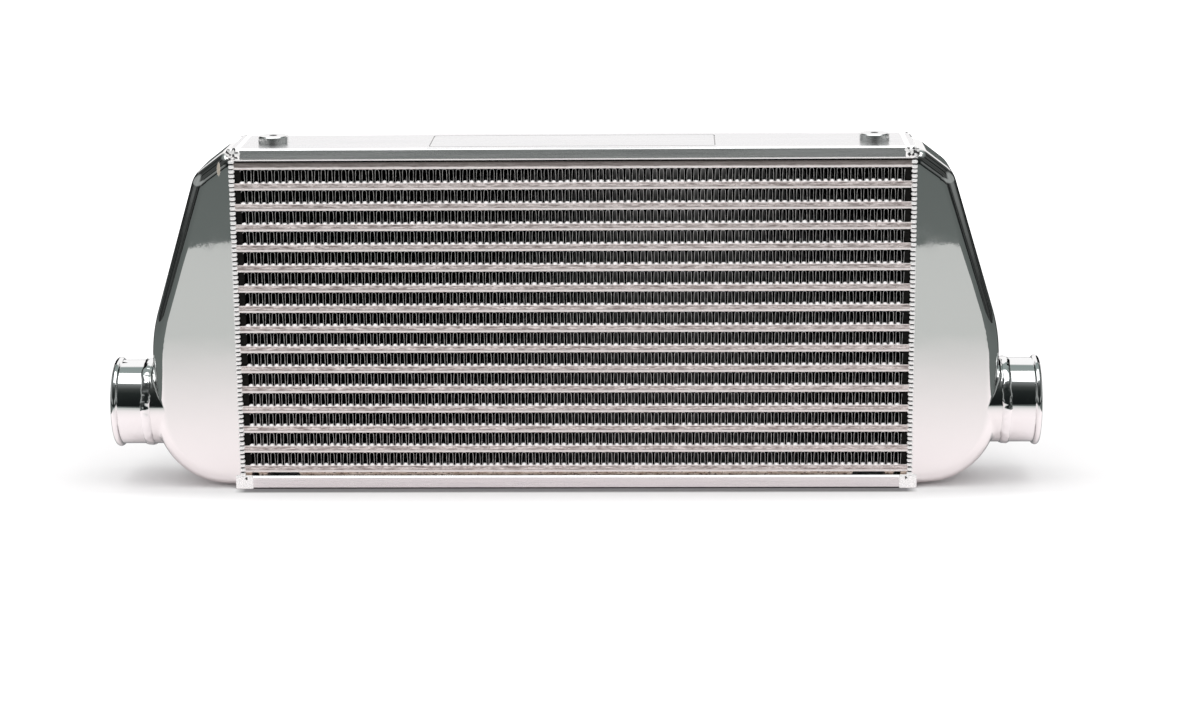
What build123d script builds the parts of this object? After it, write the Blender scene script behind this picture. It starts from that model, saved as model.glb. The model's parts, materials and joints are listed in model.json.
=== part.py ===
from build123d import *
import math
import os

# An air-to-air intercooler for a turbocharged engine, of bar-and-plate construction.
# Charge air enters one side tank, crosses the core inside flat passages and leaves through
# the other tank. Cooling air blows from front to rear through the fin rows between them.
# Millimetres. X runs from the left tank to the right tank, Y from the front face to the
# rear face, Z up. The origin lies under the middle of the bottom side plate.

# Core
core_width = 600.0
core_depth = 76.0
passage_count = 16
sheet_thickness = 0.5

# Bars that close each charge passage at the front and the rear
bar_height = 5.0
bar_depth = 8.0
bar_rounding = 0.8

# Corrugated fins in the cooling air, and the bars that close their rows at the tanks
fin_height = 12.4
fin_pitch = 5.92
fin_metal = 0.35
fin_lean = 6.0
fin_setback = 0.6
fold_flats = 1
braze_gap = 0.03
end_bar_width = 8.0
end_bar_setback = 2.0

# Corrugated turbulators inside the charge passages
turbulator_pitch = 5.0
turbulator_metal = 0.3
turbulator_lean = 8.0
turbulator_setback = 3.0

# Side plates above and below the stack
top_plate_height = 11.0
bottom_plate_height = 12.0
plate_overhang = 1.0
plate_bevel = 1.5

# Spacers that hold the side plates off the stack
top_strip_height = 1.6
spacer_height = 3.5
spacer_setback = 3.0
spacer_length = 500.0
spacer_slant = 2.0
spacer_block_width = 10.0
spacer_block_reach = 282.0

# Frame line cut into the top plate
frame_length = 252.0
frame_depth = 62.0
frame_corner = 4.0
frame_line = 0.9
frame_cut = 0.4

# Threaded bosses on the top plate, for M8 bolts
boss_diameter = 27.0
boss_height = 6.0
boss_spacing = 534.0
boss_bevel = 0.8
thread_bore = 6.8
thread_depth = 14.0

# Cast side tanks; reaches run outwards from the core's end
tank_depth = 76.5
tank_wall = 3.0
tank_edge_radius = 13.0
tank_top_step = 3.6
tank_bottom_step = 0.5
shoulder_reach = 7.7
shoulder_radius = 16.0
knee_reach = 35.0
knee_drop = 21.1
knee_radius = 24.0
flank_reach = 78.5
flank_radius = 150.0
flank_foot_rise = 69.0
belly_rise = 8.3
belly_radius = 65.0

# Pipe stubs
pipe_diameter = 76.0
pipe_wall = 3.0
pipe_height = 72.0
neck_reach = 86.0
neck_fillet = 5.0
stub_reach = 117.0
bead_diameter = 81.0
bead_width = 6.0
bead_lip = 0.8

# Weld beads
weld_width = 5.8
weld_proud = 1.7
stub_weld_width = 8.0
stub_weld_proud = 1.8

# Levels and places worked out from the sizes above
passage_height = bar_height + 2 * sheet_thickness
row_pitch = passage_height + fin_height
fin_row_count = passage_count - 1
stack_bottom = bottom_plate_height + spacer_height
stack_top = stack_bottom + passage_count * passage_height + fin_row_count * fin_height
top_plate_bottom = stack_top + top_strip_height
plate_top = top_plate_bottom + top_plate_height
plate_depth = core_depth + 2 * plate_overhang
core_end = core_width / 2
tank_top = plate_top - tank_top_step
tank_bottom = tank_bottom_step
flank_x = core_end + flank_reach
neck_end = core_end + neck_reach
stub_end = core_end + stub_reach


def passage_bottom(number):
    """Height of the underside of a charge passage, counted from 0 at the bottom."""
    return stack_bottom + number * row_pitch


def fin_row_bottom(number):
    """Height of the underside of a fin row, counted from 0 at the bottom."""
    return passage_bottom(number) + passage_height


def block(width, depth, height, x, y, bottom):
    """A rectangular block, placed by the middle of its underside."""
    standing = (Align.CENTER, Align.CENTER, Align.MIN)
    return Pos(x, y, bottom) * Box(width, depth, height, align=standing)


def folded_section(run, height, pitch, metal, lean):
    """Section of a strip folded into waves, over X from 0 to run, centred on Y.

    Each fold turns in a few flats that touch one arc, so the metal keeps its thickness.
    """
    waves = int(run / pitch)
    pitch = run / waves
    half = (height - metal) / 2
    tilt = math.radians(lean)
    spare = pitch / 4 - half * math.tan(tilt)
    bend = spare / (math.cos(tilt) - math.tan(tilt) * (1 - math.sin(tilt)))
    step = (math.pi - 2 * tilt) / (fold_flats + 1)

    def side(offset):
        """Corners of one surface of the strip, from its first crest to its last."""
        corners = [(0, half + offset)]
        for fold in range(2 * waves + 1):
            up = 1 if fold % 2 == 0 else -1
            radius = (bend + up * offset) / math.cos(step / 2)
            for corner in range(fold_flats + 1):
                angle = math.pi - tilt - (corner + 0.5) * step
                x = fold * pitch / 2 + radius * math.cos(angle)
                y = up * (half - bend + radius * math.sin(angle))
                if 0 < x < run:
                    corners.append((x, y))
        corners.append((run, half + offset))
        return corners

    upper = side(metal / 2)
    lower = side(-metal / 2)
    return make_face(Polyline(*upper, *lower[::-1], close=True))


def air_fin():
    """One fin row, open from front to rear, standing on height 0."""
    run = core_width - 2 * end_bar_width
    depth = core_depth - 2 * fin_setback
    section = folded_section(run, fin_height - 2 * braze_gap, fin_pitch, fin_metal, fin_lean)
    upright = Plane(origin=(-run / 2, -depth / 2, fin_height / 2), x_dir=(1, 0, 0), z_dir=(0, -1, 0))
    return extrude(upright * section, amount=depth, dir=(0, 1, 0))


def turbulator():
    """One internal fin, open from left to right, standing on height 0."""
    run = core_depth - 2 * bar_depth
    length = core_width - 2 * turbulator_setback
    height = bar_height - 2 * braze_gap
    section = folded_section(run, height, turbulator_pitch, turbulator_metal, turbulator_lean)
    upright = Plane(origin=(-length / 2, -run / 2, bar_height / 2), x_dir=(0, 1, 0), z_dir=(1, 0, 0))
    return extrude(upright * section, amount=length, dir=(1, 0, 0))


def front_bar():
    """One bar of the front face, standing on height 0, with its two outer edges rounded."""
    y = -(core_depth - bar_depth) / 2
    bar = block(core_width, bar_depth, bar_height, 0, y, 0)
    outer_edges = bar.edges().filter_by(Axis.X).group_by(Axis.Y)[0]
    return fillet(outer_edges, bar_rounding)


def parting_sheets():
    """The two sheets that close each charge passage, below and above its bars."""
    sheets = []
    for number in range(passage_count):
        lower = passage_bottom(number)
        upper = lower + sheet_thickness + bar_height
        sheets.append(block(core_width, core_depth, sheet_thickness, 0, 0, lower))
        sheets.append(block(core_width, core_depth, sheet_thickness, 0, 0, upper))
    return sheets


def end_bars():
    """The two bars that close each fin row where the core meets the tanks."""
    depth = core_depth - 2 * end_bar_setback
    x = core_end - end_bar_width / 2
    bars = []
    for number in range(fin_row_count):
        bottom = fin_row_bottom(number)
        bars.append(block(end_bar_width, depth, fin_height, -x, 0, bottom))
        bars.append(block(end_bar_width, depth, fin_height, x, 0, bottom))
    return bars


def spacer(width, x):
    """One spacer over the bottom plate, wider at its top, as deep as the slot allows."""
    depth = core_depth - 2 * spacer_setback
    low = width / 2 - spacer_slant
    high = width / 2
    outline = Polyline((-low, 0), (low, 0), (high, spacer_height), (-high, spacer_height), close=True)
    upright = Plane(origin=(x, -depth / 2, bottom_plate_height), x_dir=(1, 0, 0), z_dir=(0, -1, 0))
    return extrude(upright * make_face(outline), amount=depth, dir=(0, 1, 0))


def spacer_strips():
    """The strip under the top plate, and the spacers and closing bars over the bottom plate."""
    strip_depth = core_depth - 2 * spacer_setback
    strips = [block(core_width, strip_depth, top_strip_height, 0, 0, stack_top)]
    strips.append(spacer(spacer_length, 0))
    end_depth = core_depth - 2 * end_bar_setback
    for side in (-1, 1):
        strips.append(spacer(spacer_block_width, side * spacer_block_reach))
        x = side * (core_end - end_bar_width / 2)
        strips.append(block(end_bar_width, end_depth, spacer_height, x, 0, bottom_plate_height))
    return strips


def side_plate(height, bottom):
    """A side plate with all four of its long edges bevelled."""
    plate = block(core_width, plate_depth, height, 0, 0, bottom)
    return chamfer(plate.edges().filter_by(Axis.X), plate_bevel)


def thread_hole(x):
    """The hole of one boss, through the boss and on into the plate."""
    hole_bottom = plate_top + boss_height - thread_depth
    standing = (Align.CENTER, Align.CENTER, Align.MIN)
    return Pos(x, 0, hole_bottom) * Cylinder(thread_bore / 2, thread_depth, align=standing)


def top_side_plate():
    """The top plate, with the blind ends of the thread holes and a frame line on its face."""
    plate = side_plate(top_plate_height, top_plate_bottom)
    outer = RectangleRounded(frame_length, frame_depth, frame_corner)
    inner_corner = frame_corner - frame_line
    inner = RectangleRounded(frame_length - 2 * frame_line, frame_depth - 2 * frame_line, inner_corner)
    groove = extrude(Pos(0, 0, plate_top) * (outer - inner), amount=-frame_cut)
    plate = plate - groove
    for x in (-boss_spacing / 2, boss_spacing / 2):
        plate = plate - thread_hole(x)
    return plate


def mounting_bosses():
    """Two round bosses on the top plate, bevelled and drilled."""
    bosses = []
    standing = (Align.CENTER, Align.CENTER, Align.MIN)
    for x in (-boss_spacing / 2, boss_spacing / 2):
        boss = Pos(x, 0, plate_top) * Cylinder(boss_diameter / 2, boss_height, align=standing)
        boss = chamfer(boss.edges().group_by(Axis.Z)[-1], boss_bevel) - thread_hole(x)
        bosses.append(boss)
    return bosses


def tank_face(start):
    """Front view of the right tank, from X = start to its flank."""
    points = [
        (start, tank_bottom),
        (flank_x, tank_bottom + belly_rise),
        (flank_x, pipe_height + flank_foot_rise),
        (core_end + knee_reach, tank_top - knee_drop),
        (core_end + shoulder_reach, tank_top),
        (start, tank_top),
    ]
    radii = [belly_radius, flank_radius, knee_radius, shoulder_radius]
    outline = FilletPolyline(*points, radius=radii)
    back = Line(points[-1], points[0])
    return make_face([outline, back])


def rounded_body(face, depth, radius, start):
    """The face as a body about the middle of the core, its front and rear outlines rounded."""
    body = extrude(Plane.XZ * face, amount=depth / 2, both=True)
    outline = []
    for edge in body.edges():
        middle = edge @ 0.5
        if abs(middle.Y) > 0.49 * depth and middle.X > start + 0.5:
            outline.append(edge)
    return fillet(outline, radius)


def pipe_rod(radius, start, end):
    """A solid rod on the right pipe's axis, from X = start to X = end."""
    sideways = Plane(origin=(start, 0, pipe_height), x_dir=(0, 1, 0), z_dir=(1, 0, 0))
    return extrude(sideways * Circle(radius), amount=end - start)


def is_neck_corner(edge):
    """Whether an edge is part of the curve where the neck leaves the tank's body."""
    if edge.geom_type == GeomType.LINE:
        return False
    for point in (edge @ 0, edge @ 0.5):
        from_axis = math.hypot(point.Y, point.Z - pipe_height)
        if abs(from_axis - pipe_diameter / 2) > 0.01 or point.X > neck_end - 1:
            return False
    return True


def tank_shape():
    """The outside of the right tank with its neck, before it is hollowed."""
    body = rounded_body(tank_face(core_end), tank_depth, tank_edge_radius, core_end)
    neck = pipe_rod(pipe_diameter / 2, flank_x - 2 * tank_edge_radius, neck_end)
    shape = body + neck
    corner = [edge for edge in shape.edges() if is_neck_corner(edge)]
    return fillet(corner, neck_fillet)


def tank_cavity():
    """The space inside the right tank, open to the core and to the stub."""
    past_core = core_end - 2 * tank_wall
    face = offset(tank_face(past_core), amount=-tank_wall)
    depth = tank_depth - 2 * tank_wall
    space = rounded_body(face, depth, tank_edge_radius - tank_wall, past_core + tank_wall)
    bore = pipe_rod(pipe_diameter / 2 - pipe_wall, flank_x - 2 * tank_edge_radius, neck_end)
    return space + bore


def pipe_stub():
    """The right stub: a short pipe with a bead rolled into its end."""
    outside = pipe_diameter / 2
    crown = bead_diameter / 2
    inside = outside - pipe_wall
    bead_start = stub_end - bead_width
    section = make_face(
        [
            Line((neck_end, inside), (neck_end, outside)),
            Line((neck_end, outside), (bead_start, outside)),
            ThreePointArc(
                (bead_start, outside),
                (bead_start + bead_width / 2, crown),
                (stub_end, outside + bead_lip),
            ),
            Line((stub_end, outside + bead_lip), (stub_end, inside)),
            Line((stub_end, inside), (neck_end, inside)),
        ]
    )
    axis = Axis((0, 0, 0), (1, 0, 0))
    return Pos(0, 0, pipe_height) * revolve(Plane.XZ * section, axis)


def tank_weld():
    """The bead round the seam of the right tank, ground off level with the bottom plate."""
    width = tank_depth + 2 * weld_proud
    height = tank_top - tank_bottom + 2 * weld_proud
    middle = (tank_top + tank_bottom) / 2
    across = Plane(origin=(core_end - weld_width / 2, 0, middle), x_dir=(0, 1, 0), z_dir=(1, 0, 0))
    outline = RectangleRounded(width, height, tank_edge_radius + weld_proud)
    band = extrude(across * outline, amount=weld_width)
    ends = band.faces().filter_by(Axis.X)
    band = fillet([edge for face in ends for edge in face.edges()], 0.9 * weld_proud)
    between = top_plate_bottom - bottom_plate_height
    stack = block(core_width, core_depth, between, 0, 0, bottom_plate_height)
    ground = block(core_width + 4 * weld_width, 2 * width, height, 0, 0, -height)
    band = band - stack - ground
    band = band - side_plate(top_plate_height, top_plate_bottom)
    band = band - side_plate(bottom_plate_height, 0)
    return band - rounded_body(tank_face(core_end), tank_depth, tank_edge_radius, core_end)


def stub_weld(tank):
    """The bead round the seam between the right tank's neck and its stub."""
    outside = pipe_diameter / 2
    start = (neck_end - stub_weld_width / 2, outside)
    end = (neck_end + stub_weld_width / 2, outside)
    crown = ThreePointArc(start, (neck_end, outside + stub_weld_proud), end)
    section = make_face([crown, Line(end, start)])
    axis = Axis((0, 0, 0), (1, 0, 0))
    return Pos(0, 0, pipe_height) * revolve(Plane.XZ * section, axis) - tank


def save(name, shapes):
    """Write one node, a single solid or a group of separate ones."""
    solids = [solid for shape in shapes for solid in shape.solids()]
    content = solids[0] if len(solids) == 1 else Compound(children=solids)
    content.label = name
    export_step(content, f"parts/{name}.step", write_pcurves=False)


def both_sides(shape):
    """A shape of the right side, with its mirror image on the left."""
    return [mirror(shape, about=Plane.YZ), shape]


def main():
    os.makedirs("parts", exist_ok=True)
    bar = front_bar()
    fin = air_fin()
    inner_fin = turbulator()
    inner_fins = []
    for number in range(passage_count):
        bar_bottom = passage_bottom(number) + sheet_thickness
        save(f"front_bar_{number + 1:02d}", [Pos(0, 0, bar_bottom) * bar])
        save(f"rear_bar_{number + 1:02d}", [Pos(0, 0, bar_bottom) * mirror(bar, about=Plane.XZ)])
        inner_fins.append(Pos(0, 0, bar_bottom) * inner_fin)
    for number in range(fin_row_count):
        save(f"air_fin_{number + 1:02d}", [Pos(0, 0, fin_row_bottom(number)) * fin])
    save("turbulators", inner_fins)
    save("parting_sheets", parting_sheets())
    save("end_bars", end_bars())
    save("spacer_strips", spacer_strips())
    save("top_side_plate", [top_side_plate()])
    save("bottom_side_plate", [side_plate(bottom_plate_height, 0)])
    save("mounting_bosses", mounting_bosses())

    tank = tank_shape()
    left_tank, right_tank = both_sides(tank - tank_cavity())
    save("left_tank", [left_tank])
    save("right_tank", [right_tank])
    left_stub, right_stub = both_sides(pipe_stub())
    save("left_pipe_stub", [left_stub])
    save("right_pipe_stub", [right_stub])
    save("tank_welds", both_sides(tank_weld()))
    save("stub_welds", both_sides(stub_weld(tank)))


main()
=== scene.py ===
# %% [markdown]
# A bar-and-plate intercooler, finished for the camera.
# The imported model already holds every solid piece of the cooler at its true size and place. This script
# keeps that model as its frame and gives it what a solid model can't hold well: the polish of the cast
# tanks, the rippled weld beads, the rounded folds of the air fins and the furnace stain on the bars.

# %% Load the frame
import json
import math
import random

import bmesh
import bpy
from mathutils import Matrix, Vector, noise


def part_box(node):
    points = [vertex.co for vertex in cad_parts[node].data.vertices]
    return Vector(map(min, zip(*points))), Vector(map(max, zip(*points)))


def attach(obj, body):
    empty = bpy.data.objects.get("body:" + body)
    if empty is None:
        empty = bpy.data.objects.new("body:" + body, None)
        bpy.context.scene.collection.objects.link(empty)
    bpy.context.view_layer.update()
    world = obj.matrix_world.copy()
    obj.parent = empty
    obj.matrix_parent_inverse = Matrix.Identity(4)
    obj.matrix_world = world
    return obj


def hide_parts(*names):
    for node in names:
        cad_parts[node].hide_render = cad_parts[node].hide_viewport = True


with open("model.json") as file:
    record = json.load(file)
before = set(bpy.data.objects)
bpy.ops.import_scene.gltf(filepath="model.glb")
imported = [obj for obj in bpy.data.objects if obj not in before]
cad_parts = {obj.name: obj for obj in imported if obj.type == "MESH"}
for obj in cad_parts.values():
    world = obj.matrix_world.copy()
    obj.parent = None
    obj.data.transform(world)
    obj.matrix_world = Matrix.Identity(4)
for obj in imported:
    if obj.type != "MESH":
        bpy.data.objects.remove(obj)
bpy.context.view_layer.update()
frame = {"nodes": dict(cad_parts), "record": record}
cad_nodes = frame["nodes"]
MM = 0.001

# %% [markdown]
# Every finish below is a small tree of shader nodes. Written out in full, a tree of ten nodes takes forty
# lines, so a few helpers come first: each adds one kind of node and takes plain values or the outputs of
# other nodes. Patterns read Object coordinates in metres, so a grain of 2 mm is written as 2 mm.


# %% Shader helpers
def feed(tree, socket, value):
    """Links an output to a socket, or sets the socket's own value."""
    if isinstance(value, bpy.types.NodeSocket):
        tree.links.new(value, socket)
    else:
        socket.default_value = value


def add_node(tree, kind, **inputs):
    """A shader node with its inputs fed by name, an underscore standing for a space."""
    node = tree.nodes.new("ShaderNode" + kind)
    for name, value in inputs.items():
        feed(tree, node.inputs[name.replace("_", " ")], value)
    return node


def maths(tree, operation, *values):
    """The output of one Math node."""
    node = tree.nodes.new("ShaderNodeMath")
    node.operation = operation
    for socket, value in zip(node.inputs, values):
        feed(tree, socket, value)
    return node.outputs[0]


def fade(tree, value, low, high, start=0.0, end=1.0):
    """value from low to high becomes start to end, and stays there outside."""
    node = add_node(tree, "MapRange", Value=value, From_Min=low, From_Max=high, To_Min=start, To_Max=end)
    return node.outputs["Result"]


def mix_colours(tree, factor, first, second):
    """first where factor is 0, second where it is 1."""
    node = tree.nodes.new("ShaderNodeMix")
    node.data_type = "RGBA"
    feed(tree, node.inputs[0], factor)
    feed(tree, node.inputs[6], first)
    feed(tree, node.inputs[7], second)
    return node.outputs[2]


def place_on_piece(tree):
    """X, Y and Z of the shaded point in metres."""
    spot = tree.nodes.new("ShaderNodeTexCoord").outputs["Object"]
    return add_node(tree, "SeparateXYZ", Vector=spot).outputs


def grain(tree, size, detail=2.0, roughness=0.5, shift=0.0):
    """Noise from 0 to 1 whose lumps have this size in metres along X, Y and Z."""
    spot = tree.nodes.new("ShaderNodeTexCoord").outputs["Object"]
    scale = [1 / side for side in size]
    place = add_node(tree, "Mapping", Vector=spot, Location=(shift, shift, shift), Scale=scale).outputs[0]
    lumps = add_node(tree, "TexNoise", Vector=place, Scale=1.0, Detail=detail, Roughness=roughness)
    return lumps.outputs[0]


# %% [markdown]
# Some effects serve several finishes: the roll of polished metal, the stain of the furnace, the lines of a
# brush, the depth into the core. Each is a group of nodes, built once and placed in each finish with values
# of its own. A group puts out plain numbers, and the finish decides what they do to its colour or gloss.

# %% Helpers for groups
def start_group(name, inputs, outputs):
    """An empty group, and its inner input and output sockets."""
    tree = bpy.data.node_groups.new(name, "ShaderNodeTree")
    for label, value in inputs.items():
        socket = tree.interface.new_socket(name=label, in_out="INPUT", socket_type="NodeSocketFloat")
        socket.default_value = value
    for label in outputs:
        tree.interface.new_socket(name=label, in_out="OUTPUT", socket_type="NodeSocketFloat")
    return tree, tree.nodes.new("NodeGroupInput").outputs, tree.nodes.new("NodeGroupOutput").inputs


def use_group(tree, group, **inputs):
    """The outputs of a group placed in a material's tree."""
    node = tree.nodes.new("ShaderNodeGroup")
    node.node_tree = group
    for name, value in inputs.items():
        feed(tree, node.inputs[name.replace("_", " ")], value)
    return node.outputs


# %% [markdown]
# Hand polish. A casting that is buffed on a wheel is a mirror, but never a flat one: its face rolls by a few
# hundredths of a millimetre over a few centimetres. A mirror shows that at once, as waves in every edge that
# it reflects. Two noises do it, a long one for the roll and a fine one for the marks of the wheel. The roll
# is deeper beside the welds, where the heat pulled the sheet.

# %% Group: hand polish
WELD_LINE = 300 * MM
HEAT_REACH = 14 * MM

polish, given, result = start_group("hand polish", {"Roll": 1.0, "Wheel Marks": 0.1}, ["Height", "Haze"])
from_weld = maths(polish, "SUBTRACT", maths(polish, "ABSOLUTE", place_on_piece(polish)[0]), WELD_LINE)
heat_pull = fade(polish, from_weld, 0.0, HEAT_REACH, 3.0, 1.0)
long_roll = grain(polish, (34 * MM, 34 * MM, 26 * MM), detail=1.0)
wheel_marks = grain(polish, (1.6 * MM, 1.6 * MM, 5 * MM), detail=3.0)
rolled = maths(polish, "MULTIPLY", maths(polish, "MULTIPLY", long_roll, heat_pull), given["Roll"])
marked = maths(polish, "MULTIPLY", wheel_marks, given["Wheel Marks"])
feed(polish, result["Height"], maths(polish, "ADD", rolled, marked))
feed(polish, result["Haze"], fade(polish, grain(polish, (20 * MM, 20 * MM, 20 * MM), detail=4.0), 0.35, 0.7))

# %% [markdown]
# Furnace stain. The core is brazed in one go in an oven, so its bars and sheets come out matt, with pale
# pink and grey patches, and specks of flux burnt brown. One group gives both: long patches drawn out along
# X, as the bars lie, and small specks where a fine noise passes a threshold.

# %% Group: furnace stain
stain, given, result = start_group("furnace stain", {"Speck Share": 0.3}, ["Patches", "Specks", "Height"])
patches = grain(stain, (8 * MM, 4 * MM, 1.4 * MM), detail=5.0, roughness=0.65)
spots = grain(stain, (2.0 * MM, 2.0 * MM, 0.8 * MM), detail=2.0, shift=7.0)
edge_of_speck = maths(stain, "SUBTRACT", 1.0, given["Speck Share"])
feed(stain, result["Patches"], fade(stain, patches, 0.36, 0.64))
feed(stain, result["Specks"], maths(stain, "GREATER_THAN", spots, edge_of_speck))
feed(stain, result["Height"], maths(stain, "ADD", patches, maths(stain, "MULTIPLY", spots, 0.4)))

# %% [markdown]
# Brushed grain. The side plates are drawn bar stock, brushed along their length: fine lines that run for
# centimetres along X and are a few tenths of a millimetre across. A noise stretched a hundred times along X
# gives them, and the same lines serve for tone, for roughness and for height.

# %% Group: brushed grain
brushed, given, result = start_group("brushed grain", {"Line Width": 0.35 * MM}, ["Lines", "Broad"])
spot = brushed.nodes.new("ShaderNodeTexCoord").outputs["Object"]
across = maths(brushed, "DIVIDE", 1.0, given["Line Width"])
squeeze = add_node(brushed, "CombineXYZ", X=1 / (45 * MM), Y=across, Z=across)
stretched = add_node(brushed, "Mapping", Vector=spot, Scale=squeeze.outputs[0])
lines = add_node(brushed, "TexNoise", Vector=stretched.outputs[0], Scale=1.0, Detail=4.0, Roughness=0.65)
feed(brushed, result["Lines"], lines.outputs[0])
feed(brushed, result["Broad"], grain(brushed, (120 * MM, 9 * MM, 3 * MM), detail=3.0))

# %% [markdown]
# Depth into the core. Light reaches only the first millimetres of the fin channels, so the finishes paint the
# shade deeper in, and the grey of the freshly cut front edges, from one number: how far a point lies behind
# the nearer face of the core. One group gives it, the same from the front and the rear.

# %% Group: depth into the core
FACE = 38 * MM

depth, given, result = start_group("depth into the core", {"Reach": 1 * MM}, ["Near Face"])
behind = maths(depth, "SUBTRACT", FACE, maths(depth, "ABSOLUTE", place_on_piece(depth)[1]))
feed(depth, result["Near Face"], maths(depth, "SUBTRACT", 1.0, fade(depth, behind, 0.0, given["Reach"])))
print("groups:", [group.name for group in bpy.data.node_groups])


# %% [markdown]
# A finish starts from one Principled shader. Values that are the same all over go straight on its sockets,
# and only what changes over the surface gets nodes. Relief goes through a Bump node, whose Distance is the
# real height of the relief in metres, so a scratch of a hundredth of a millimetre is written as one.

# %% Start of a finish
def start_finish(name, colour, metallic, roughness):
    """A material, its tree and its Principled shader, with the values that are the same all over."""
    material = bpy.data.materials.new(name)
    material.use_nodes = True
    shader = material.node_tree.nodes["Principled BSDF"]
    shader.inputs["Base Color"].default_value = (*colour, 1.0)
    shader.inputs["Metallic"].default_value = metallic
    shader.inputs["Roughness"].default_value = roughness
    return material, material.node_tree, shader.inputs


def raise_surface(tree, sockets, height, depth_of_relief):
    """Feeds the shader's normal from a height, in metres of relief for a height of 1."""
    bump = add_node(tree, "Bump", Strength=1.0, Distance=depth_of_relief, Height=height)
    tree.links.new(bump.outputs[0], sockets["Normal"])


def tell(*materials):
    """Prints how many nodes each finish took."""
    for material in materials:
        print(f"{material.name}: {len(material.node_tree.nodes)} nodes")


# %% [markdown]
# Polished tank and pipe. Bare aluminium is a metal, so Metallic is 1 and its colour is its reflectance, near
# 0.94 and almost grey. Roughness between 0.015 and 0.05 keeps reflected edges sharp. What makes it look
# polished is less the shader than what it reflects, and that is built at the end, with the lamps. Beside the
# upper end of its seam the left tank kept a small tan stain from the heat of the weld.

# %% Finish: tank and pipe
TANK_COLOUR = (0.94, 0.94, 0.935)
PIPE_COLOUR = (0.94, 0.945, 0.945)
STAIN_COLOUR = (0.74, 0.66, 0.56)
STAIN_PLACE = (-311 * MM, 292 * MM)
STAIN_HALF_SIZE = (1.7 * MM, 6.5 * MM)


def polished_finish(name, colour, roll, relief):
    """Mirror metal with a rolling face and slight haze."""
    material, tree, sockets = start_finish(name, colour, 1.0, 0.05)
    surface = use_group(tree, polish, Roll=roll)
    tree.links.new(fade(tree, surface["Haze"], 0.0, 1.0, 0.015, 0.05), sockets["Roughness"])
    raise_surface(tree, sockets, surface["Height"], relief)
    return material


def stain_by_heat(material, colour, place, half_size):
    """A small tan stain, as heat leaves beside the end of a weld: an ellipse in X and Z."""
    tree = material.node_tree
    sockets = tree.nodes["Principled BSDF"].inputs
    spot = place_on_piece(tree)
    sideways = maths(tree, "DIVIDE", maths(tree, "SUBTRACT", spot[0], place[0]), half_size[0])
    upwards = maths(tree, "DIVIDE", maths(tree, "SUBTRACT", spot[2], place[1]), half_size[1])
    away = maths(tree, "ADD", maths(tree, "POWER", sideways, 2.0), maths(tree, "POWER", upwards, 2.0))
    tone = mix_colours(tree, fade(tree, away, 0.6, 1.1), (*STAIN_COLOUR, 1.0), (*colour, 1.0))
    tree.links.new(tone, sockets["Base Color"])
    tree.links.new(fade(tree, away, 0.6, 1.1, 0.55, 1.0), sockets["Metallic"])


tank_finish = polished_finish("polished tank", TANK_COLOUR, 1.0, 0.05 * MM)
stain_by_heat(tank_finish, TANK_COLOUR, STAIN_PLACE, STAIN_HALF_SIZE)
pipe_finish = polished_finish("polished pipe", PIPE_COLOUR, 0.6, 0.04 * MM)
tell(tank_finish, pipe_finish)

# %% [markdown]
# Weld metal. The beads are laid by hand and left bright. Each ripple froze with a smooth skin, so the finish
# is a soft gloss, with pits too fine to model. The gaps between puddles get painted shade: each bead carries
# an attribute, 0 in the middle of a puddle and 1 at its two tips, and the finish goes dark towards the tips.
# The rough lumps at the upper corners carry random dark patches, and the pits at the lower ones are painted
# fully dark as shade.

# %% Finish: weld
weld_finish, tree, sockets = start_finish("bright weld", (0.97, 0.965, 0.96), 0.35, 0.25)
skin = grain(tree, (0.9 * MM, 0.9 * MM, 0.9 * MM), detail=4.0)
tree.links.new(fade(tree, skin, 0.3, 0.7, 0.15, 0.35), sockets["Roughness"])
raise_surface(tree, sockets, skin, 0.04 * MM)
share = add_node(tree, "Attribute")
share.attribute_name = "tip_share"
# Painted shade: the colour goes dark towards the puddle tips and in the pits.
between = fade(tree, share.outputs["Fac"], 0.53, 0.66)
bright_to_painted_shade = mix_colours(tree, between, (0.98, 0.975, 0.97, 1.0), (0.03, 0.03, 0.03, 1.0))
tree.links.new(bright_to_painted_shade, sockets["Base Color"])
tree.links.new(fade(tree, between, 0.0, 1.0, 0.35, 0.0), sockets["Metallic"])
tell(weld_finish)

# %% [markdown]
# Side plates and bosses. The plates carry the brushed grain. A narrow band near each end was ground after
# welding, so it is paler and duller, and the bevel along the top plate's lower edge gets the same paler,
# duller finish as a painted highlight. The frame line cut into the top plate is drawn dark, and painted shade
# darkens the foot of the lower plate. The bosses are turned, which leaves rings round their sides, so their
# lines follow Z alone.

# %% Finish: side plates
PLATE_END = 300 * MM
FRAME_HALF_LENGTH = 127 * MM
top_plate_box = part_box("top_side_plate")
TOP_PLATE_FOOT = top_plate_box[0].z
TOP_PLATE_HEAD = top_plate_box[1].z
PLATE_FACE = top_plate_box[1].y

plate_finish, tree, sockets = start_finish("brushed side plate", (0.86, 0.855, 0.86), 1.0, 0.25)
surface = use_group(tree, brushed)
from_middle = maths(tree, "ABSOLUTE", place_on_piece(tree)[0])
height = place_on_piece(tree)[2]

band_start = fade(tree, from_middle, PLATE_END - 8.2 * MM, PLATE_END - 7.8 * MM)
band_end = fade(tree, from_middle, PLATE_END - 4.4 * MM, PLATE_END - 4.0 * MM, 1.0, 0.0)
ground_end = maths(tree, "MULTIPLY", band_start, band_end)
# The lower bevel of the top plate gets the pale end colour as a painted highlight.
bevel_highlight_band = fade(tree, height, TOP_PLATE_FOOT + 1.3 * MM, TOP_PLATE_FOOT + 1.6 * MM, 1.0, 0.0)
on_top_plate = fade(tree, height, TOP_PLATE_FOOT - 1 * MM, TOP_PLATE_FOOT)
ground_end_and_bevel_highlight = maths(tree, "MAXIMUM", ground_end, maths(tree, "MULTIPLY", bevel_highlight_band, on_top_plate))

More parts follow.
